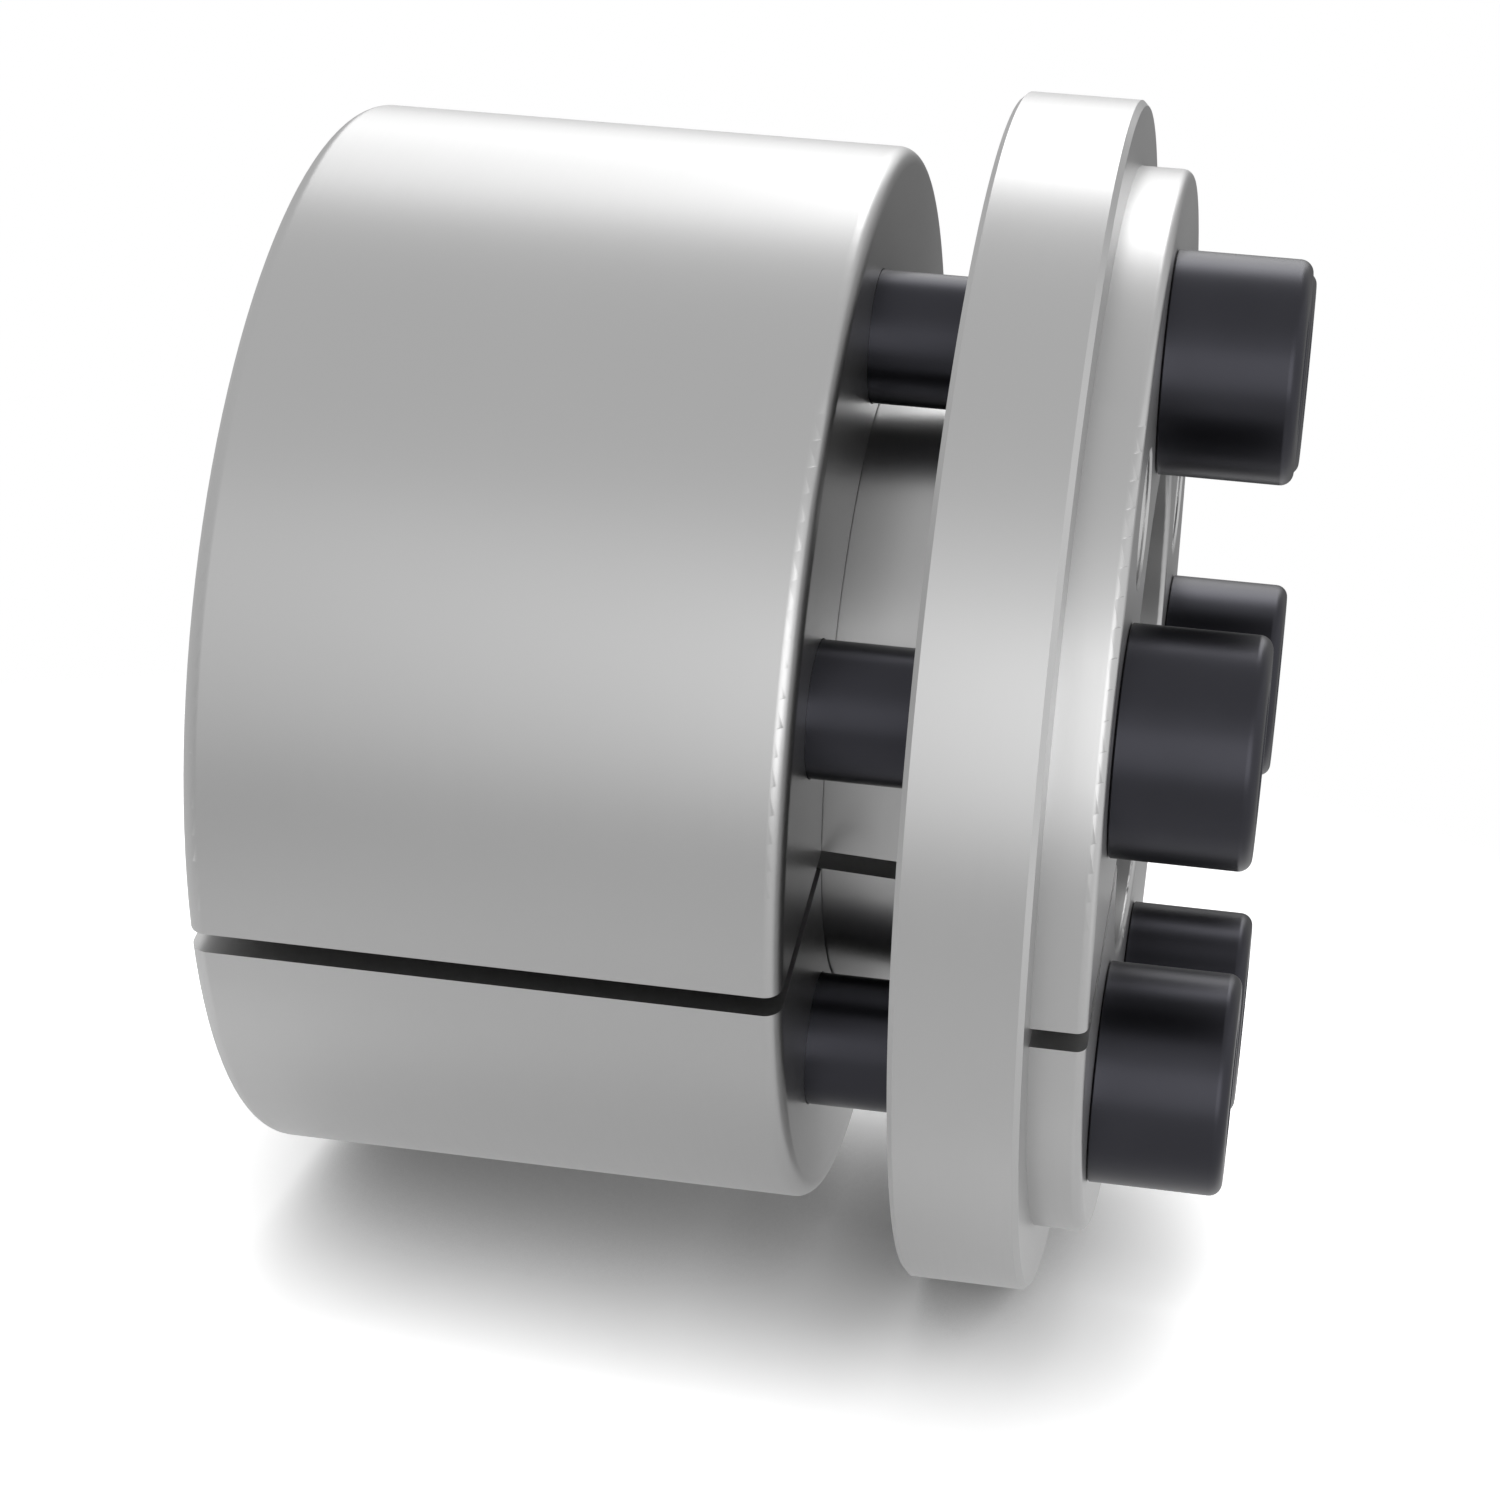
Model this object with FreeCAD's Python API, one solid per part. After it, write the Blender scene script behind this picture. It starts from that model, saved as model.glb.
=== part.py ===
"""Keyless shaft locking assembly for a 24 mm shaft in a 50 mm hub bore.

A slit inner ring with a thin flange grips the shaft. Its outside is a shallow cone that carries
a slit outer ring, which grips the hub. Six socket head cap screws pass through the flange and a
spacer collar into the outer ring, draw it up the cone and so wedge the two rings apart.

Frame, in millimetres: the shaft axis is Z, the origin is on that axis at the free end, and +Z
points from the free end to the screw heads. The slit lies at -Y. Azimuths are counter-clockwise
about +Z from +X.
"""

import FreeCAD, Part

import math
import os

Vector = FreeCAD.Vector

# Shaft side: the inner ring
BORE_D = 24.0
SEAT_WALL = 2.9
TAPER_HALF_ANGLE = 3.5
LAND_LEAD = 0.5
MOUTH_ROUNDING = 0.3
FLANGE_T = 2.4
FLANGE_MARGIN = 1.5
FLANGE_ROUNDING = 0.5

# Hub side: the outer ring
RING_L = 26.0
RING_WALL = 3.45
RING_ROUNDING = 0.8
DRAW_TRAVEL = 1.5
CONE_PLAY = 0.02

# Spacer collar, and its distance from the outer ring before the screws are tightened
REST_GAP = 5.0
COLLAR_T = 5.6
COLLAR_STEP = 3.0
COLLAR_CHAMFER = 0.25
COLLAR_PLAY = 0.02

# One saw cut runs the whole length of each split ring
SLIT_W = 1.0
SLIT_AZIMUTH = -90.0

# Small edge breaks at the bores and at the cone's small end
EDGE_BREAK = 0.2

# Socket head cap screws
SCREW_COUNT = 6
SCREW_D = 6.0
THREAD_PITCH = 1.0
ENGAGEMENT = 12.0
HEAD_D = 10.0
HEAD_H = 6.0
HEAD_ROUNDING = 0.6
HEAD_PLAY = 0.02
TIP_CHAMFER = 0.6
HEX_SIDES = 6
HEX_AF = 5.0
HEX_DEPTH = 3.0
HEX_BEVEL = 0.15
SOCKET_POINT_ANGLE = 120.0

# Holes for the screws
HOLE_PLAY = 0.2
HOLE_WEB = 0.4
THREAD_PLAY = 0.05
TAP_RUNOUT = 0.5

# Threaded holes in the flange for the screws that push the rings apart again
JACK_COUNT = 3
JACK_AZIMUTH = 90.0
JACK_BEVEL = 0.1

# Lengths past a face that let a cutting tool clear it
OVERCUT = 1.0

# Stations along the axis, from the free end
COLLAR_Z = RING_L + REST_GAP
FLANGE_Z = COLLAR_Z + COLLAR_T
FACE_Z = FLANGE_Z + FLANGE_T
LAND_Z = COLLAR_Z - LAND_LEAD
HEAD_Z = FACE_Z + HEAD_PLAY
TIP_Z = RING_L - ENGAGEMENT

# Radii, built up from the shaft to the outside
BORE_R = BORE_D / 2
LAND_R = BORE_R + SEAT_WALL
HOLE_R = SCREW_D / 2 + HOLE_PLAY
TAPPED_R = SCREW_D / 2 + THREAD_PLAY
TAP_DRILL_R = (SCREW_D - THREAD_PITCH) / 2
JACK_R = SCREW_D / 2
PITCH_R = LAND_R + HOLE_WEB + HOLE_R
RING_R = PITCH_R + TAPPED_R + RING_WALL
COLLAR_R = RING_R + COLLAR_STEP
FLANGE_R = PITCH_R + HEAD_D / 2 + FLANGE_MARGIN
TAPER_SLOPE = math.tan(math.radians(TAPER_HALF_ANGLE))
CONE_CLEARANCE = DRAW_TRAVEL * TAPER_SLOPE + CONE_PLAY

AXIS = Vector(0, 0, 1)
ORIGIN = Vector(0, 0, 0)
FULL_TURN = 360.0


def cone_radius(z):
    """Radius of the inner ring's cone at height z."""
    return LAND_R - (LAND_Z - z) * TAPER_SLOPE


def polar(radius, azimuth, z=0.0):
    """Point at a radius and an azimuth in degrees."""
    angle = math.radians(azimuth)
    return Vector(radius * math.cos(angle), radius * math.sin(angle), z)


def sharp(radius, z):
    """Profile corner that is left sharp."""
    return Vector(radius, 0, z), "sharp", 0.0


def bevelled(radius, z, size):
    """Profile corner cut off at the same distance along both its sides."""
    return Vector(radius, 0, z), "bevelled", size


def rounded(radius, z, size):
    """Profile corner rounded by a tangent arc of this radius."""
    return Vector(radius, 0, z), "rounded", size


def trimmed_corner(before, corner, after):
    """Where a profile's corner starts and ends, and the edge between, if it has one."""
    point, treatment, size = corner
    if treatment == "sharp":
        return point, point, None
    to_before = (before[0] - point).normalize()
    to_after = (after[0] - point).normalize()
    if treatment == "bevelled":
        start = point + to_before * size
        end = point + to_after * size
        return start, end, Part.LineSegment(start, end).toShape()
    half_angle = to_before.getAngle(to_after) / 2
    setback = size / math.tan(half_angle)
    bisector = (to_before + to_after).normalize()
    middle = point + bisector * (size / math.sin(half_angle) - size)
    start = point + to_before * setback
    end = point + to_after * setback
    return start, end, Part.Arc(start, middle, end).toShape()


def turned(corners):
    """Solid of revolution about Z from the corners of its closed profile."""
    count = len(corners)
    trims = [trimmed_corner(corners[i - 1], corners[i], corners[(i + 1) % count])
             for i in range(count)]
    edges = []
    for i, (_, end, corner_edge) in enumerate(trims):
        if corner_edge:
            edges.append(corner_edge)
        next_start = trims[(i + 1) % count][0]
        edges.append(Part.LineSegment(end, next_start).toShape())
    return Part.Face(Part.Wire(edges)).revolve(ORIGIN, AXIS, FULL_TURN)


def drill(radius, azimuth, low, high):
    """Cylinder on the screw circle between two heights."""
    return Part.makeCylinder(radius, high - low, polar(PITCH_R, azimuth, low), AXIS)


def azimuths(count, first):
    """Evenly spaced azimuths around the axis."""
    return [first + FULL_TURN * i / count for i in range(count)]


SCREW_AZIMUTHS = azimuths(SCREW_COUNT, 0.0)
JACK_AZIMUTHS = azimuths(JACK_COUNT, JACK_AZIMUTH)


def saw_cut(reach, low, high):
    """Slab that slits a ring from its bore out past its outside."""
    slab = Part.makeBox(reach, SLIT_W, high - low, Vector(0, -SLIT_W / 2, low))
    slab.rotate(ORIGIN, AXIS, SLIT_AZIMUTH)
    return slab


def inner_ring():
    """Slit sleeve with a cone outside, a short land for the collar and a thin flange."""
    body = turned([
        bevelled(BORE_R, 0, EDGE_BREAK),
        bevelled(cone_radius(0), 0, EDGE_BREAK),
        sharp(LAND_R, LAND_Z),
        sharp(LAND_R, FLANGE_Z),
        sharp(FLANGE_R, FLANGE_Z),
        rounded(FLANGE_R, FACE_Z, FLANGE_ROUNDING),
        rounded(BORE_R, FACE_Z, MOUTH_ROUNDING),
    ])
    cuts = [saw_cut(FLANGE_R + OVERCUT, -OVERCUT, FACE_Z + OVERCUT)]
    for azimuth in SCREW_AZIMUTHS:
        cuts.append(drill(HOLE_R, azimuth, FLANGE_Z - OVERCUT, FACE_Z + OVERCUT))
    for azimuth in JACK_AZIMUTHS:
        cuts.append(drill(JACK_R, azimuth, FLANGE_Z - OVERCUT, FACE_Z + OVERCUT))
        bevel_h = JACK_BEVEL + OVERCUT
        bevel_base = polar(PITCH_R, azimuth, FACE_Z - JACK_BEVEL)
        cuts.append(Part.makeCone(JACK_R, JACK_R + bevel_h, bevel_h, bevel_base, AXIS))
    return body.cut(cuts)


def spacer_collar():
    """Closed collar on the inner ring's land, against the back of the flange."""
    collar_bore_r = LAND_R + COLLAR_PLAY
    body = turned([
        bevelled(collar_bore_r, COLLAR_Z, EDGE_BREAK),
        bevelled(COLLAR_R, COLLAR_Z, COLLAR_CHAMFER),
        bevelled(COLLAR_R, FLANGE_Z, COLLAR_CHAMFER),
        bevelled(collar_bore_r, FLANGE_Z, EDGE_BREAK),
    ])
    cuts = []
    for azimuth in SCREW_AZIMUTHS + JACK_AZIMUTHS:
        cuts.append(drill(HOLE_R, azimuth, COLLAR_Z - OVERCUT, FLANGE_Z + OVERCUT))
    return body.cut(cuts)


def outer_ring():
    """Slit ring with a conical bore, a cylinder outside and tapped holes for the screws."""
    body = turned([
        bevelled(cone_radius(0) + CONE_CLEARANCE, 0, EDGE_BREAK),
        rounded(RING_R, 0, RING_ROUNDING),
        rounded(RING_R, RING_L, RING_ROUNDING),
        sharp(cone_radius(RING_L) + CONE_CLEARANCE, RING_L),
    ])
    tapped_z = TIP_Z - DRAW_TRAVEL - TAP_RUNOUT
    cuts = [saw_cut(RING_R + OVERCUT, -OVERCUT, RING_L + OVERCUT)]
    for azimuth in SCREW_AZIMUTHS:
        cuts.append(drill(TAP_DRILL_R, azimuth, -OVERCUT, tapped_z + OVERCUT))
        cuts.append(drill(TAPPED_R, azimuth, tapped_z, RING_L + OVERCUT))
    return body.cut(cuts)


def hex_socket():
    """Hexagon recess with a bevelled mouth and the pointed floor that a punch leaves."""
    corner_r = HEX_AF / math.sqrt(3)
    floor_z = HEAD_Z + HEAD_H - HEX_DEPTH
    rim = [polar(corner_r, azimuth, floor_z) for azimuth in azimuths(HEX_SIDES, 0.0)]
    prism = Part.Face(Part.makePolygon(rim + rim[:1])).extrude(AXIS * (HEX_DEPTH + OVERCUT))
    point_depth = HEX_AF / 2 / math.tan(math.radians(SOCKET_POINT_ANGLE / 2))
    point = Part.makeCone(0, HEX_AF / 2, point_depth, Vector(0, 0, floor_z - point_depth), AXIS)
    bevel_r = corner_r + HEX_BEVEL
    bevel = Part.makeCone(0, bevel_r, bevel_r, Vector(0, 0, HEAD_Z + HEAD_H - bevel_r), AXIS)
    return prism.fuse([point, bevel])


def cap_screw(azimuth):
    """Socket head cap screw, head on the flange and tip in the outer ring."""
    shank_r = SCREW_D / 2
    head_r = HEAD_D / 2
    head_top = HEAD_Z + HEAD_H
    body = turned([
        sharp(0, TIP_Z),
        bevelled(shank_r, TIP_Z, TIP_CHAMFER),
        sharp(shank_r, HEAD_Z),
        sharp(head_r, HEAD_Z),
        rounded(head_r, head_top, HEAD_ROUNDING),
        sharp(0, head_top),
    ])
    screw = body.cut(hex_socket())
    screw.translate(polar(PITCH_R, azimuth))
    return screw


def main():
    """Write one STEP file for each piece."""
    os.makedirs("parts", exist_ok=True)
    pieces = {
        "inner_ring": inner_ring(),
        "outer_ring": outer_ring(),
        "spacer_collar": spacer_collar(),
    }
    for number, azimuth in enumerate(SCREW_AZIMUTHS, start=1):
        pieces["cap_screw_%d" % number] = cap_screw(azimuth)
    for name, shape in pieces.items():
        shape.exportStep("parts/%s.step" % name)
        print("%-14s solids %d valid %s volume %.1f mm3" %
              (name, len(shape.Solids), shape.isValid(), shape.Volume))


if __name__ == "__main__":
    main()
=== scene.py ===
"""Looks of a keyless shaft locking assembly: slit rings, spacer collar and six black cap screws.

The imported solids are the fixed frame. The rings and the collar keep their own meshes, with
smooth normals and a turned steel finish. The cap screws get new meshes with their threads, and
the release holes get sleeves with theirs. The camera stands where the photograph was taken from,
where the shaft axis runs across the picture.

Everything is in metres: the shaft axis is Z, the free end stands on z = 0 and the screw heads
are on top.
"""

import sys

import logging
import math
from collections.abc import Callable, Sequence
from dataclasses import dataclass, field
from enum import Enum

import bmesh
import bpy
import numpy as np
from mathutils import Euler, Matrix, Quaternion, Vector


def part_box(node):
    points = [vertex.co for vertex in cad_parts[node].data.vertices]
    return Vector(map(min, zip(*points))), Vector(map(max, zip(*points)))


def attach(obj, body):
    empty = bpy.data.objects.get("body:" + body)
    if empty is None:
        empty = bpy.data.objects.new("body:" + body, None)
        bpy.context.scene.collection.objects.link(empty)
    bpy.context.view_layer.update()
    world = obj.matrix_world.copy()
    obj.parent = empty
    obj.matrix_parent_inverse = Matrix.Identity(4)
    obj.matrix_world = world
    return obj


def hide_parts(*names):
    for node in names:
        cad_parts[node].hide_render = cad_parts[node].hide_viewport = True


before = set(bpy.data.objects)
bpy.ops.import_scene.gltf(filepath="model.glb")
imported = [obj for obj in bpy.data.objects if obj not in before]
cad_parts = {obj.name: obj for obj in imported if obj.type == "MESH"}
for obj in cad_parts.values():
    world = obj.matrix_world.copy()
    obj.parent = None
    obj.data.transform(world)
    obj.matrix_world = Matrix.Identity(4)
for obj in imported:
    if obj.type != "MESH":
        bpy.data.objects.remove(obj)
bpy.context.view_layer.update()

MM = 0.001
FULL_TURN = 2 * math.pi
SHARP_EDGE = math.radians(30)
NOISE_MEAN = 0.5
PART_MIDDLE = Vector((0, 0, 20 * MM))
log = logging.getLogger("shaft_lock")

Number = int | float
Faces = list[tuple[int, ...]]


class Slot(Enum):
    """Names of the record's material slots; nothing in this script uses them."""

    RINGS = "ring_steel"
    SCREWS = "screw_steel"


class Wire:
    """A shader socket that can stand in an arithmetic expression."""

    def __init__(self, tree: bpy.types.NodeTree, socket: bpy.types.NodeSocket) -> None:
        """Wraps one output socket of a node tree."""
        self.tree = tree
        self.socket = socket

    def _math(self, operation: str, *values: "Wire | Number") -> "Wire":
        """Adds a Math node.

        Args:
            operation: The Math node's operation.
            values: Its inputs in order, as sockets or numbers.

        Returns:
            The node's result.
        """
        node = self.tree.nodes.new("ShaderNodeMath")
        node.operation = operation
        for socket, value in zip(node.inputs, values):
            if isinstance(value, Wire):
                self.tree.links.new(value.socket, socket)
            else:
                socket.default_value = value
        return Wire(self.tree, node.outputs[0])

    def __add__(self, other: "Wire | Number") -> "Wire":
        """Sum."""
        return self._math("ADD", self, other)

    def __sub__(self, other: "Wire | Number") -> "Wire":
        """Difference."""
        return self._math("SUBTRACT", self, other)

    def __rsub__(self, other: Number) -> "Wire":
        """Difference from a number."""
        return self._math("SUBTRACT", other, self)

    def __mul__(self, other: "Wire | Number") -> "Wire":
        """Product."""
        return self._math("MULTIPLY", self, other)

    def __truediv__(self, other: "Wire | Number") -> "Wire":
        """Quotient."""
        return self._math("DIVIDE", self, other)

    def __pow__(self, other: "Wire | Number") -> "Wire":
        """Power."""
        return self._math("POWER", self, other)

    __radd__ = __add__
    __rmul__ = __mul__

    def exp(self) -> "Wire":
        """Natural exponential."""
        return self._math("EXPONENT", self)

    def clamped(self) -> "Wire":
        """The value held between 0 and 1."""
        return self._math("MINIMUM", self._math("MAXIMUM", self, 0.0), 1.0)


class NodeBench:
    """Builds the nodes of one material or world."""

    COLOR_A = 6
    COLOR_B = 7
    COLOR_RESULT = 2

    def __init__(self, tree: bpy.types.NodeTree) -> None:
        """Clears the tree to start from nothing."""
        self.tree = tree
        tree.nodes.clear()

    def node(self, kind: str, settings: dict | None = None, **sockets: object) -> bpy.types.Node:
        """Adds one node.

        Args:
            kind: The node's type.
            settings: Properties of the node, set before its sockets.
            sockets: Values or links by socket name, with underscores for spaces.

        Returns:
            The new node.
        """
        made = self.tree.nodes.new(kind)
        for name, value in (settings or {}).items():
            setattr(made, name, value)
        for name, value in sockets.items():
            socket = made.inputs[name.replace("_", " ")]
            if isinstance(value, Wire):
                self.tree.links.new(value.socket, socket)
            elif isinstance(value, bpy.types.NodeSocket):
                self.tree.links.new(value, socket)
            else:
                socket.default_value = value
        return made

    def wire(self, kind: str, output: str | int = 0, settings: dict | None = None,
             **sockets: object) -> Wire:
        """Adds one node and wraps one of its outputs.

        Args:
            kind: The node's type.
            output: Name or number of the output.
            settings: Properties of the node.
            sockets: Values or links by socket name.

        Returns:
            The output, ready for arithmetic.
        """
        return Wire(self.tree, self.node(kind, settings, **sockets).outputs[output])

    def against(self, operation: str, place: bpy.types.NodeSocket, fixed: Vector) -> Wire:
        """Adds a Vector Math node that sets a place against a fixed vector.

        Args:
            operation: The node's operation, one that gives a number.
            place: The socket with the place.
            fixed: The other vector.

        Returns:
            The number that the operation gives.
        """
        made = self.node("ShaderNodeVectorMath", {"operation": operation})
        self.tree.links.new(place, made.inputs[0])
        made.inputs[1].default_value = fixed
        return Wire(self.tree, made.outputs["Value"])

    def tones(self, tone: Sequence[float], spread: float, mask: Wire) -> bpy.types.NodeSocket:
        """Mixes a darker and a lighter shade of a tone.

        A Mix node has sockets for several kinds of data, so those for colours go by number.

        Args:
            tone: The colour in the middle.
            spread: The share by which the two shades lie below and above it.
            mask: 0 where the darker shade shows, and 1 where the lighter one does.

        Returns:
            The mixed colour.
        """
        mix = self.node("ShaderNodeMix", {"data_type": "RGBA"})
        self.tree.links.new(mask.socket, mix.inputs[0])
        mix.inputs[self.COLOR_A].default_value = (*(c * (1 - spread) for c in tone), 1)
        mix.inputs[self.COLOR_B].default_value = (*(c * (1 + spread) for c in tone), 1)
        return mix.outputs[self.COLOR_RESULT]

    def blend(self, share: Wire, under: bpy.types.NodeSocket,
              over: bpy.types.NodeSocket) -> bpy.types.NodeSocket:
        """Mixes two shaders.

        Args:
            share: How much of the second one shows, from 0 to 1.
            under: The first shader.
            over: The second shader.

        Returns:
            The mixed shader.
        """
        mix = self.node("ShaderNodeMixShader")
        for source, socket in zip((share.socket, under, over), mix.inputs):
            self.tree.links.new(source, socket)
        return mix.outputs[0]

    def pale(self, whiteness: float) -> bpy.types.NodeSocket:
        """Adds a matt grey shader of the given brightness."""
        return self.node("ShaderNodeBsdfDiffuse", Color=(*(whiteness,) * 3, 1)).outputs[0]

    def surface(self, shader: bpy.types.NodeSocket) -> None:
        """Connects a shader to the material's output."""
        self.node("ShaderNodeOutputMaterial", Surface=shader)


def new_finish(name: str) -> tuple[bpy.types.Material, NodeBench]:
    """Makes an empty material.

    Args:
        name: The material's name.

    Returns:
        The material, and the bench that builds its nodes.
    """
    made = bpy.data.materials.new(name)
    made.use_nodes = True
    return made, NodeBench(made.node_tree)


@dataclass(frozen=True)
class TurnedSteel:
    """Satin steel from the lathe, with fine tool marks round the axis.

    Tool marks are noise along z + r, the way that the tool travelled: along the axis on a
    cylinder and across it on a face. They drift slowly round the axis. Wide clouds shift tone
    and gloss by a few percent.
    """

    name: str
    tone: tuple[float, float, float] = (0.50, 0.50, 0.50)
    tone_spread: float = 0.025
    roughness: float = 0.34
    mark_spacing: float = 0.12 * MM
    mark_depth: float = 0.00035 * MM
    mark_drift: float = 0.02
    mark_detail: float = 3.0
    mark_gloss: float = 0.05
    cloud_scale: float = 90.0
    cloud_detail: float = 4.0
    cloud_contrast: float = 0.5
    cloud_gloss: float = 0.04

    def material(self) -> bpy.types.Material:
        """Makes the finish.

        Returns:
            The material.
        """
        made, bench = new_finish(self.name)
        place = bench.node("ShaderNodeTexCoord").outputs["Object"]
        split = bench.node("ShaderNodeSeparateXYZ", Vector=place)
        x, y, z = (Wire(made.node_tree, out) for out in split.outputs)
        travel = z + (x * x + y * y) ** 0.5
        track = bench.node("ShaderNodeCombineXYZ", X=travel, Y=x * self.mark_drift,
                           Z=y * self.mark_drift)
        marks = bench.wire("ShaderNodeTexNoise", "Fac", Vector=track.outputs[0],
                           Scale=1 / self.mark_spacing, Detail=self.mark_detail)
        clouds = bench.wire("ShaderNodeTexNoise", "Fac", Vector=place, Scale=self.cloud_scale,
                            Detail=self.cloud_detail)
        shade = (clouds - NOISE_MEAN) * self.cloud_contrast + NOISE_MEAN
        bump = bench.node("ShaderNodeBump", Height=marks, Distance=self.mark_depth, Strength=1.0)
        gloss = (self.roughness + (marks - NOISE_MEAN) * self.mark_gloss
                 + (clouds - NOISE_MEAN) * self.cloud_gloss)
        shader = bench.node("ShaderNodeBsdfPrincipled", Metallic=1.0, Roughness=gloss,
                            Base_Color=bench.tones(self.tone, self.tone_spread, shade),
                            Normal=bump.outputs[0])
        bench.surface(shader.outputs[0])
        return made


@dataclass(frozen=True)
class BlackOxide:
    """Oiled black oxide on hardened steel: nearly black, with a soft bluish gloss."""

    name: str
    tone: tuple[float, float, float] = (0.045, 0.045, 0.053)
    tone_spread: float = 0.08
    roughness: float = 0.33
    cloud_scale: float = 350.0
    cloud_detail: float = 4.0
    cloud_gloss: float = 0.05

    def material(self) -> bpy.types.Material:
        """Makes the finish, with slow noise in its tone and gloss.

        Returns:
            The material.
        """
        made, bench = new_finish(self.name)
        place = bench.node("ShaderNodeTexCoord").outputs["Object"]
        clouds = bench.wire("ShaderNodeTexNoise", "Fac", Vector=place, Scale=self.cloud_scale,
                            Detail=self.cloud_detail)
        gloss = self.roughness + (clouds - NOISE_MEAN) * self.cloud_gloss
        shader = bench.node("ShaderNodeBsdfPrincipled", Metallic=1.0, Roughness=gloss,
                            Base_Color=bench.tones(self.tone, self.tone_spread, clouds))
        bench.surface(shader.outputs[0])
        return made


def smooth_by_face_area(piece: bpy.types.Object, weld_distance: float = 0.001 * MM) -> None:
    """Lets flat faces and cylinders keep their own normals, and roundings run between them.

    The facets of a solid are joined, parted again along its sharp edges, and shaded with
    normals that lean to the larger faces.

    Args:
        piece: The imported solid.
        weld_distance: Points closer than this are joined.
    """
    joined = piece.modifiers.new("joined", "WELD")
    joined.merge_threshold = weld_distance
    parted = piece.modifiers.new("parted", "EDGE_SPLIT")
    parted.split_angle = SHARP_EDGE
    normals = piece.modifiers.new("normals", "WEIGHTED_NORMAL")
    normals.mode = "FACE_AREA_WITH_ANGLE"


def mesh_piece(name: str, points: np.ndarray, faces: Faces, finish: bpy.types.Material,
               merge_distance: float = 0.0005 * MM) -> bpy.types.Object:
    """Makes a mesh object from points and faces, with its doubles merged and its sharp edges kept.

    Args:
        name: The piece's name.
        points: Vertex places in metres, one row each.
        faces: Vertex numbers of each face.
        finish: The piece's material.
        merge_distance: Points closer than this are joined.

    Returns:
        The object, at the world's origin.
    """
    mesh = bpy.data.meshes.new(name)
    mesh.from_pydata(points.tolist(), [], faces)
    shell = bmesh.new()
    shell.from_mesh(mesh)
    bmesh.ops.remove_doubles(shell, verts=shell.verts, dist=merge_distance)
    bmesh.ops.recalc_face_normals(shell, faces=shell.faces)
    shell.to_mesh(mesh)
    shell.free()
    mesh.shade_smooth()
    mesh.set_sharp_from_angle(angle=SHARP_EDGE)
    piece = bpy.data.objects.new(name, mesh)
    bpy.context.scene.collection.objects.link(piece)
    normals = piece.modifiers.new("normals", "WEIGHTED_NORMAL")
    normals.mode = "FACE_AREA_WITH_ANGLE"
    normals.keep_sharp = True
    mesh.materials.append(finish)
    log.info("made %s with %d faces", name, len(mesh.polygons))
    return piece


def round_points(radius: np.ndarray | float, azimuth: np.ndarray,
                 height: np.ndarray | float) -> np.ndarray:
    """Places in metres of points given by radius, azimuth and height, in the same layout.

    Args:
        radius: Distances from the axis.
        azimuth: Angles round the axis.
        height: Places along the axis.

    Returns:
        An array with x, y and z along its last side.
    """
    x, y, z = np.broadcast_arrays(radius * np.cos(azimuth), radius * np.sin(azimuth), height)
    return np.stack([x, y, z], axis=-1)


def even_azimuths(columns: int) -> np.ndarray:
    """Azimuths that part a whole turn evenly."""
    return np.arange(columns) * FULL_TURN / columns


def loop_faces(rows: int, columns: int, first: int) -> Faces:
    """Makes quads between neighbouring closed loops, numbered row by row.

    Args:
        rows: How many loops there are.
        columns: Points in each loop.
        first: Number of the first point.

    Returns:
        The faces.
    """
    i, j = np.meshgrid(np.arange(rows - 1), np.arange(columns), indexing="ij")
    following = (j + 1) % columns
    quads = np.stack([i * columns + j, i * columns + following,
                      (i + 1) * columns + following, (i + 1) * columns + j], axis=-1)
    return [tuple(q) for q in (quads.reshape(-1, 4) + first).tolist()]


def helix_grid(low: float, high: float, pitch: float, phases: Sequence[float], columns: int,
               radius_at: Callable[[np.ndarray, np.ndarray], np.ndarray],
               ) -> tuple[np.ndarray, Faces]:
    """Makes a threaded surface as a grid whose rows follow the helix.

    A row's height is its own station plus the pitch times the share of a turn. Rows past an end
    pile up on its edge, and are merged later. After a whole turn a row runs on into the one a
    pitch above.

    Args:
        low: Height of the lower edge.
        high: Height of the upper edge.
        pitch: Rise of the thread in one turn.
        phases: Places of the rows within one pitch, in pitches.
        columns: Points round one turn.
        radius_at: Gives the surface's radius at heights and azimuths.

    Returns:
        Points about the thread's own axis, and faces.
    """
    turns = np.arange(math.floor(low / pitch) - 1, math.ceil(high / pitch) + 2)
    stations = (turns[:, None] + np.array(phases)[None, :]).ravel() * pitch
    azimuth = even_azimuths(columns)[None, :]
    z = np.clip(stations[:, None] + pitch * azimuth / FULL_TURN, low, high)
    points = round_points(radius_at(z, azimuth), azimuth, z)
    rows, step = len(stations), len(phases)
    number = np.arange(rows * columns).reshape(rows, columns)
    following = np.full_like(number, -1)
    following[:, :-1] = number[:, 1:]
    following[:-step, -1] = number[step:, 0]
    quads = np.stack([number[:-1], following[:-1], following[1:], number[1:]], axis=-1)
    quads = quads.reshape(-1, 4)
    quads = quads[(quads >= 0).all(axis=1)]
    return points.reshape(-1, 3), [tuple(q) for q in quads.tolist()]


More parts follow.
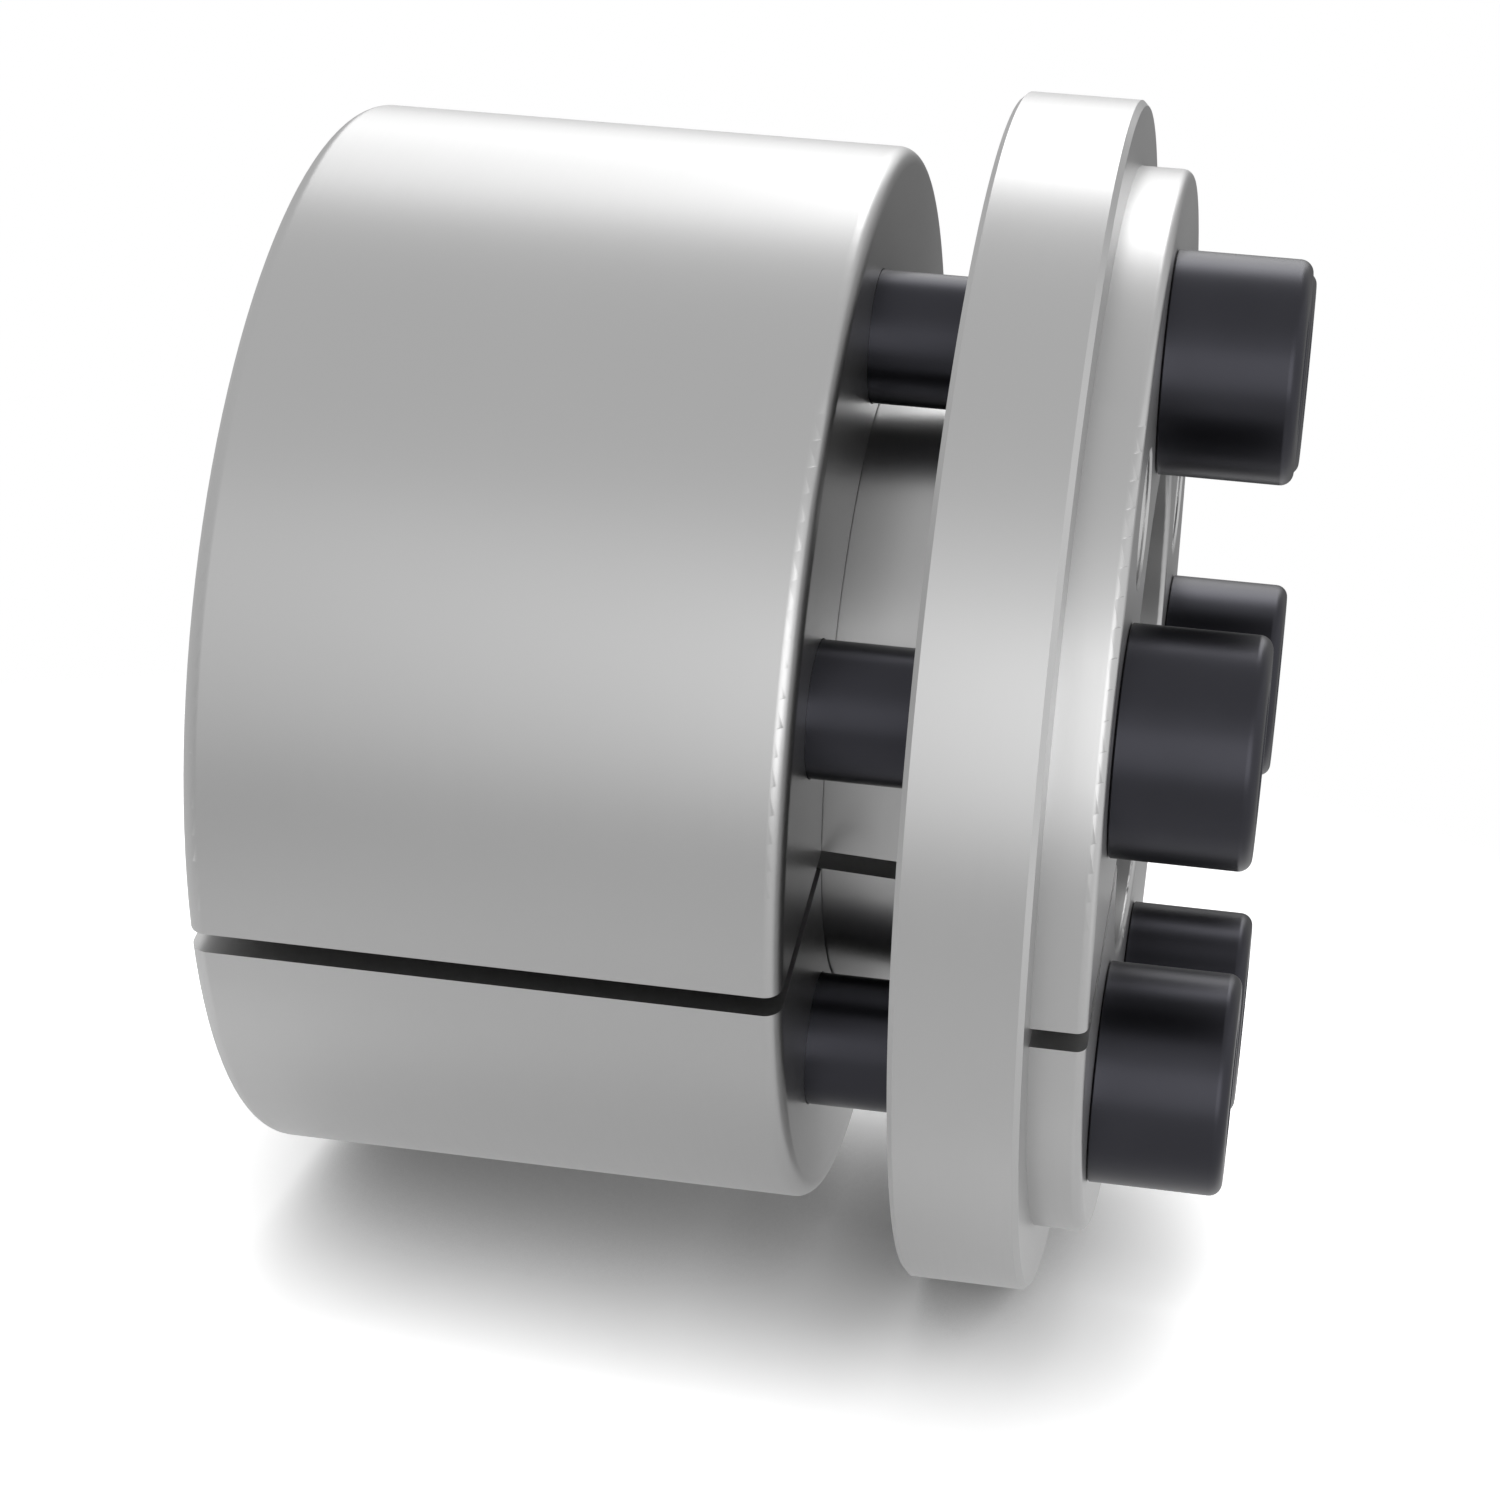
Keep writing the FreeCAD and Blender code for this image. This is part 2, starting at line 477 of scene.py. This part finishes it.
@dataclass
class CapScrew:
    """Socket head cap screw with a rolled thread on its tip end.

    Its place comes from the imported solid. Its shank is plain under the head, where the
    photograph shows it between the rings, and threaded inside the outer ring. The thread's
    crest and root are given by half their width, in pitches.
    """

    node: str
    body: str
    head_height: float = 6.0 * MM
    head_rounding: float = 0.6 * MM
    under_head_bevel: float = 0.08 * MM
    shank_radius: float = 3.0 * MM
    pitch: float = 1.0 * MM
    thread_depth: float = 0.6134 * MM
    thread_top: float = 25.4 * MM
    half_crest: float = 1 / 16
    half_root: float = 1 / 12
    tip_bevel: float = 0.6 * MM
    hex_across_flats: float = 5.0 * MM
    hex_depth: float = 3.0 * MM
    hex_bevel: float = 0.15 * MM
    drill_point: float = 120.0
    columns: int = 96
    rounding_steps: int = 8
    low: Vector = field(init=False)
    high: Vector = field(init=False)

    def __post_init__(self) -> None:
        """Reads the screw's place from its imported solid."""
        self.low, self.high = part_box(self.node)

    @property
    def head_radius(self) -> float:
        """Radius of the head."""
        return (self.high.x - self.low.x) / 2

    def hexagon(self) -> np.ndarray:
        """Finds the socket's wall.

        A hexagon's wall lies at half its width across flats, divided by the cosine of the angle
        from the middle of the nearest flat.

        Returns:
            The wall's radius at each azimuth.
        """
        side = FULL_TURN / 6
        from_flat = np.mod(even_azimuths(self.columns), side) - side / 2
        return self.hex_across_flats / 2 / np.cos(from_flat)

    def thread_radius(self, z: np.ndarray, azimuth: np.ndarray) -> np.ndarray:
        """Gives the thread's surface.

        The phase is a place within one pitch, and the groove's middle is at one half. The wall
        lies at the root near it, at the crest far from it, and is straight between. The groove
        fades out over its last turn, and the tip's bevel cuts across it at 45 degrees.

        Args:
            z: Heights.
            azimuth: Angles round the screw.

        Returns:
            The radius at each of them.
        """
        phase = np.mod(z / self.pitch - azimuth / FULL_TURN, 1.0)
        flank = 1 / 2 - self.half_crest - self.half_root
        rise = np.clip((np.abs(phase - 1 / 2) - self.half_root) / flank, 0, 1)
        fade = np.clip((self.thread_top - z) / self.pitch, 0, 1)
        threaded = self.shank_radius - self.thread_depth * (1 - rise) * fade
        bevelled = self.shank_radius - self.tip_bevel + (z - self.low.z)
        return np.minimum(threaded, bevelled)

    def loops(self) -> list[tuple[np.ndarray | float, np.ndarray | float]]:
        """Lists the closed loops above the thread.

        Returns:
            Radius and height of each, from the thread's top up and round into the socket.
        """
        top = self.high.z
        seat = top - self.head_height
        head = self.head_radius
        wall = self.hexagon()
        mouth = self.hex_across_flats / math.sqrt(3) + self.hex_bevel
        floor = top - self.hex_depth
        point = self.hex_across_flats / 2 / math.tan(math.radians(self.drill_point / 2))
        arc = np.linspace(0, math.pi / 2, self.rounding_steps + 1)
        under = [
            (self.shank_radius, self.thread_top),
            (self.shank_radius, seat),
            (head - self.under_head_bevel, seat),
            (head, seat + self.under_head_bevel),
        ]
        edge = [(head - self.head_rounding * (1 - math.cos(a)),
                 top - self.head_rounding * (1 - math.sin(a))) for a in arc]
        socket = [
            (mouth, top),
            (wall, top - (mouth - wall)),
            (wall, floor),
            (self.hex_across_flats / 2, floor),
            (0.0, floor - point),
        ]
        return under + edge + socket

    def build(self, finish: bpy.types.Material) -> None:
        """Joins thread, shank, head, socket and tip into one closed shell on its axis.

        Args:
            finish: The screw's material.
        """
        azimuth = even_azimuths(self.columns)
        rows = (-self.half_crest, self.half_crest, 1 / 2 - self.half_root, 1 / 2,
                1 / 2 + self.half_root)
        thread, faces = helix_grid(self.low.z, self.thread_top, self.pitch, rows, self.columns,
                                   self.thread_radius)
        loops = self.loops()
        radius = np.stack([np.broadcast_to(r, self.columns) for r, _ in loops])
        height = np.stack([np.broadcast_to(z, self.columns) for _, z in loops])
        head = round_points(radius, azimuth, height).reshape(-1, 3)
        faces += loop_faces(len(loops), self.columns, first=len(thread))
        tip_radius = self.thread_radius(np.full(self.columns, self.low.z), azimuth)
        tip = round_points(tip_radius, azimuth, self.low.z)
        tip_first = len(thread) + len(head)
        faces.append(tuple(range(tip_first, tip_first + self.columns)))
        points = np.concatenate([thread, head, tip])
        centre = (self.low + self.high) / 2
        points[:, :2] += (centre.x, centre.y)
        name = self.node.replace("cap_screw", "threaded_screw")
        piece = mesh_piece(name, points, faces, finish)
        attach(piece, self.body)
        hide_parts(self.node)


@dataclass(frozen=True)
class HoleThread:
    """Internal thread of a release hole, as a sleeve let into the hole's wall.

    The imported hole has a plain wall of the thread's nominal size. The thread stands out from it.
    Its crest is given by half its width, in pitches. Its rows lie on the crest's middle and
    edges, and three on each flank.
    """

    name: str
    x: float
    y: float
    body: str = "shaft_side"
    low: float = 36.62 * MM
    high: float = 38.88 * MM
    pitch: float = 1.0 * MM
    half_crest: float = 1 / 8
    crest_radius: float = 2.5 * MM
    root_radius: float = 3.06 * MM
    sleeve_radius: float = 3.16 * MM
    rows: tuple[float, ...] = (0.05, 0.16, 0.27, 0.375, 0.5, 0.625, 0.73, 0.84, 0.95)
    columns: int = 72

    def thread_radius(self, z: np.ndarray, azimuth: np.ndarray) -> np.ndarray:
        """Gives the thread's surface.

        From the crest's edges the flanks fall back by the square root of three times the way
        along the axis, which makes a 60 degree thread. Both ends open out at 45 degrees.

        Args:
            z: Heights.
            azimuth: Angles round the hole.

        Returns:
            The radius at each of them.
        """
        phase = np.mod(z / self.pitch - azimuth / FULL_TURN, 1.0)
        from_crest = (np.abs(phase - 1 / 2) - self.half_crest) * self.pitch
        flank = self.crest_radius + from_crest * math.sqrt(3)
        threaded = np.clip(flank, self.crest_radius, self.root_radius)
        opened = self.root_radius - np.minimum(z - self.low, self.high - z)
        return np.maximum(threaded, opened)

    def build(self, finish: bpy.types.Material) -> None:
        """Closes the thread's surface with a plain outside, which lies within the flange.

        Args:
            finish: The flange's material.
        """
        points, faces = helix_grid(self.low, self.high, self.pitch, self.rows, self.columns,
                                   self.thread_radius)
        radii = np.array([self.root_radius, self.sleeve_radius, self.sleeve_radius,
                          self.root_radius])
        heights = np.array([self.low, self.low, self.high, self.high])
        outside = round_points(radii[:, None], even_azimuths(self.columns), heights[:, None])
        faces += loop_faces(len(radii), self.columns, first=len(points))
        points = np.concatenate([points, outside.reshape(-1, 3)])
        points[:, :2] += (self.x, self.y)
        piece = mesh_piece(self.name, points, faces, finish)
        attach(piece, self.body)


@dataclass(frozen=True)
class PhotoCamera:
    """Camera at the photograph's place: the shaft axis lies across the picture."""

    eye: tuple[float, float, float] = (-97.75 * MM, -137.54 * MM, 46.75 * MM)
    aim: tuple[float, float, float] = (0.1 * MM, -0.1 * MM, 23.75 * MM)
    roll: float = 95.79
    lens: float = 85.25
    shift: tuple[float, float] = (-0.05096, -0.05214)

    def turn(self) -> Quaternion:
        """The camera's rotation: towards the aim, then rolled about the line of sight."""
        look = (Vector(self.aim) - Vector(self.eye)).to_track_quat("-Z", "Y")
        return look @ Euler((0, 0, math.radians(self.roll))).to_quaternion()

    def across(self) -> Vector:
        """Direction that points right in the picture."""
        return self.turn() @ Vector((1, 0, 0))

    def upward(self) -> Vector:
        """Direction that points up in the picture."""
        return self.turn() @ Vector((0, 1, 0))

    def toward(self) -> Vector:
        """Direction from the object to the camera."""
        return self.turn() @ Vector((0, 0, 1))

    def direction(self, sweep: float, side: float) -> Vector:
        """Turns two angles in the picture into a direction from the part.

        Args:
            sweep: Angle round the picture's level line, from the camera up and over the part.
            side: Angle to the right, towards the screw heads.

        Returns:
            The unit vector.
        """
        turn, lean = math.radians(sweep), math.radians(side)
        level = self.toward() * math.cos(turn) + self.upward() * math.sin(turn)
        return level * math.cos(lean) + self.across() * math.sin(lean)

    def build(self) -> None:
        """Makes the scene's camera."""
        data = bpy.data.cameras.new("photo_camera")
        data.lens = self.lens
        data.shift_x, data.shift_y = self.shift
        data.clip_start = 10 * MM
        camera = bpy.data.objects.new("photo_camera", data)
        camera.rotation_mode = "QUATERNION"
        camera.location = self.eye
        camera.rotation_quaternion = self.turn()
        bpy.context.scene.collection.objects.link(camera)
        bpy.context.scene.camera = camera


@dataclass(frozen=True)
class Softbox:
    """Rectangular lamp, placed by the camera's sweep and side angles."""

    name: str
    sweep: float
    side: float
    width: float
    height: float
    radiance: float
    distance: float = 0.6

    def build(self, camera: PhotoCamera) -> None:
        """Makes the lamp, aimed at the middle of the part.

        A flat lamp of power P and area A shines with a radiance of P / (pi * A).

        Args:
            camera: The camera whose angles place the lamp.
        """
        outward = camera.direction(self.sweep, self.side)
        lamp = bpy.data.lights.new(self.name, "AREA")
        lamp.shape = "RECTANGLE"
        lamp.size = self.width
        lamp.size_y = self.height
        lamp.energy = self.radiance * math.pi * self.width * self.height
        holder = bpy.data.objects.new(self.name, lamp)
        bpy.context.scene.collection.objects.link(holder)
        holder.location = PART_MIDDLE + outward * self.distance
        across = (camera.across() - outward * camera.across().dot(outward)).normalized()
        turn = Matrix((across, outward.cross(across), outward)).transposed()
        holder.rotation_mode = "QUATERNION"
        holder.rotation_quaternion = turn.to_quaternion()


@dataclass(frozen=True)
class DarkPatch:
    """Soft darker part of the surroundings, placed as a softbox is.

    It falls off from its middle as exp(tightness * (cos(angle) - 1)).
    """

    sweep: float
    side: float
    depth: float
    tightness: float = 6.0


@dataclass(frozen=True)
class Surroundings:
    """World light of the studio: an even pale level, darker low in front and behind the part."""

    level: float = 0.77
    patches: tuple[DarkPatch, ...] = (
        DarkPatch(sweep=-50, side=-30, depth=0.23),
        DarkPatch(sweep=175, side=14, depth=0.60),
    )

    def build(self, camera: PhotoCamera) -> None:
        """Makes the world's nodes.

        The camera sees plain white. The part is lit by the even level, less the darker parts,
        and mirrors the same.

        Args:
            camera: The camera whose angles place the darker parts.
        """
        world = bpy.data.worlds.new("studio")
        world.use_nodes = True
        bpy.context.scene.world = world
        bench = NodeBench(world.node_tree)
        place = bench.node("ShaderNodeTexCoord").outputs["Generated"]
        heading = bench.node("ShaderNodeVectorMath", {"operation": "NORMALIZE"})
        world.node_tree.links.new(place, heading.inputs[0])
        dimmed: Wire | float = self.level
        for patch in self.patches:
            cosine = bench.against("DOT_PRODUCT", heading.outputs[0],
                                   camera.direction(patch.sweep, patch.side))
            dimmed = dimmed - ((cosine - 1) * patch.tightness).exp() * patch.depth
        seen = bench.wire("ShaderNodeLightPath", "Is Camera Ray")
        strength = seen + dimmed * (1 - seen)
        lit = bench.node("ShaderNodeBackground", Strength=strength, Color=(1, 1, 1, 1))
        bench.node("ShaderNodeOutputWorld", Surface=lit.outputs[0])


@dataclass(frozen=True)
class StageSheet:
    """Round pale sheet that shows the object's shadow and fades out towards its rim.

    It can be seen through from behind. The camera sees it brighter than it is where it lies
    open, and darker where the object covers it: there a painted shadow, from ambient
    occlusion, deepens the sheet's real lit shade, so that all of it but the shadow is white.
    """

    name: str
    centre: Vector
    facing: Vector
    radius: float
    full_until: float
    whiteness: float = 0.8
    open_whiteness: float = 1.9
    # Painted shadow: the sheet's brightness to the camera where ambient occlusion finds the part
    # close by.
    painted_shadow_whiteness: float = 0.45
    painted_shadow_reach: float = 11 * MM
    painted_shadow_samples: int = 16
    gloss_share: float = 0.38

    def build(self) -> None:
        """Makes the sheet as a square that holds its round fade."""
        along = self.facing.orthogonal().normalized()
        across = self.facing.cross(along)
        corners = [self.centre + (along * s + across * t) * self.radius
                   for s, t in ((-1, -1), (1, -1), (1, 1), (-1, 1))]
        mesh = bpy.data.meshes.new(self.name)
        mesh.from_pydata([tuple(c) for c in corners], [], [(0, 1, 2, 3)])
        sheet = bpy.data.objects.new(self.name, mesh)
        bpy.context.scene.collection.objects.link(sheet)
        mesh.materials.append(self.material())

    def material(self) -> bpy.types.Material:
        """Makes the sheet's finish.

        Gloss and glass see the lit sheet mixed with some plain white, since it is paler to the
        camera as well. The camera sees a painted shadow where ambient occlusion finds the part
        close by. Towards the rim and from behind, the sheet is clear.

        Returns:
            The material.
        """
        made, bench = new_finish(self.name)
        paths = bench.node("ShaderNodeLightPath").outputs
        camera_ray, glossy, passed = (Wire(made.node_tree, paths[f"Is {ray} Ray"])
                                      for ray in ("Camera", "Glossy", "Transmission"))
        white = bench.node("ShaderNodeEmission", Strength=1.0).outputs[0]
        mirrored = bench.blend((glossy + passed) * self.gloss_share,
                               bench.pale(self.whiteness), white)
        # Painted shadow: ambient occlusion within a short reach darkens the camera's view of the
        # sheet near the part, on top of its real lit shade.
        painted_shadow_openness = bench.wire("ShaderNodeAmbientOcclusion", "AO",
                              {"samples": self.painted_shadow_samples}, Distance=self.painted_shadow_reach)
        camera_view_with_painted_shadow = bench.blend(painted_shadow_openness, bench.pale(self.painted_shadow_whiteness),
                                   bench.pale(self.open_whiteness))
        shown = bench.blend(camera_ray, mirrored, camera_view_with_painted_shadow)
        place = bench.node("ShaderNodeTexCoord").outputs["Object"]
        reach = bench.against("DISTANCE", place, self.centre) / self.radius
        fade = ((reach - self.full_until) / (1 - self.full_until)).clamped()
        behind = bench.wire("ShaderNodeNewGeometry", "Backfacing")
        clear = bench.node("ShaderNodeBsdfTransparent").outputs[0]
        bench.surface(bench.blend((fade + behind).clamped(), shown, clear))
        return made


@dataclass(frozen=True)
class Studio:
    """Floor, lamps, surroundings and camera of the photograph."""

    camera: PhotoCamera = PhotoCamera()
    surroundings: Surroundings = Surroundings()
    softboxes: tuple[Softbox, ...] = (
        Softbox("overhead_softbox", sweep=120, side=6, width=0.46, height=0.40, radiance=1.10),
        Softbox("overhead_spot", sweep=116, side=14, width=0.24, height=0.22, radiance=1.90),
        Softbox("far_softbox", sweep=142, side=8, width=0.46, height=0.20, radiance=0.95),
        Softbox("front_softbox", sweep=-7, side=11, width=0.40, height=0.42, radiance=1.42),
        Softbox("wide_softbox", sweep=0, side=8, width=0.90, height=0.70, radiance=0.22),
        Softbox("right_softbox", sweep=10, side=75, width=0.70, height=0.90, radiance=0.25),
        Softbox("low_softbox", sweep=-125, side=-15, width=0.80, height=0.70, radiance=0.95),
    )
    floor_distance: float = 27.5 * MM
    floor_tilt: float = 0.28
    floor_lean: float = 0.116
    floor_radius: float = 85 * MM
    floor_full_until: float = 0.3
    floor_behind: float = 4.5 * MM

    def floor(self) -> StageSheet:
        """Places the floor.

        The photograph shows the part lying on its collar, so the floor is upright here and
        stops just short of the collar's side. It rises a little towards the free end, where the
        outer ring is narrower than the collar.

        Returns:
            The sheet.
        """
        camera = self.camera
        facing = (camera.upward() + camera.toward() * self.floor_tilt
                  + camera.across() * self.floor_lean).normalized()
        along = (camera.toward() - facing * camera.toward().dot(facing)).normalized()
        under = PART_MIDDLE - facing * self.floor_distance - along * self.floor_behind
        return StageSheet("floor", under, facing, self.floor_radius, self.floor_full_until)

    def build(self) -> None:
        """Makes the floor, the light and the camera."""
        self.floor().build()
        self.surroundings.build(self.camera)
        for softbox in self.softboxes:
            softbox.build(self.camera)
        self.camera.build()
        bpy.context.scene.view_settings.view_transform = "Standard"


@dataclass
class ShaftLock:
    """The locking assembly: slit rings, spacer collar and cap screws."""

    steel: TurnedSteel = TurnedSteel("turned_ring_steel")
    collar_steel: TurnedSteel = TurnedSteel("turned_collar_steel")
    oxide: BlackOxide = BlackOxide("black_oxide_steel")
    rings: tuple[str, ...] = ("inner_ring", "outer_ring")
    collar: str = "spacer_collar"
    screws: int = 6
    release_holes: int = 3
    first_release_hole: float = 90.0
    hole_circle: float = 18.5 * MM

    def dress(self, node: str, finish: bpy.types.Material) -> None:
        """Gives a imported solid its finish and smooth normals.

        Args:
            node: The solid's name.
            finish: Its material.
        """
        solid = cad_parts[node]
        for material_slot in solid.material_slots:
            material_slot.material = finish
        smooth_by_face_area(solid)
        log.info("dressed %s", node)

    def build(self) -> None:
        """Dresses the rings and the collar, and makes the screws and the release threads."""
        ring_finish = self.steel.material()
        for node in self.rings:
            self.dress(node, ring_finish)
        self.dress(self.collar, self.collar_steel.material())
        screw_finish = self.oxide.material()
        for number in range(1, self.screws + 1):
            CapScrew(f"cap_screw_{number}", f"screw_{number}").build(screw_finish)
        first = math.radians(self.first_release_hole)
        for number in range(self.release_holes):
            azimuth = first + number * FULL_TURN / self.release_holes
            HoleThread(f"release_thread_{number + 1}",
                       x=self.hole_circle * math.cos(azimuth),
                       y=self.hole_circle * math.sin(azimuth)).build(ring_finish)


def main() -> None:
    """Builds the part and its studio, and reports each piece."""
    logging.basicConfig(level=logging.INFO, format="%(name)s: %(message)s", stream=sys.stdout)
    ShaftLock().build()
    Studio().build()


if __name__ == "__main__":
    main()
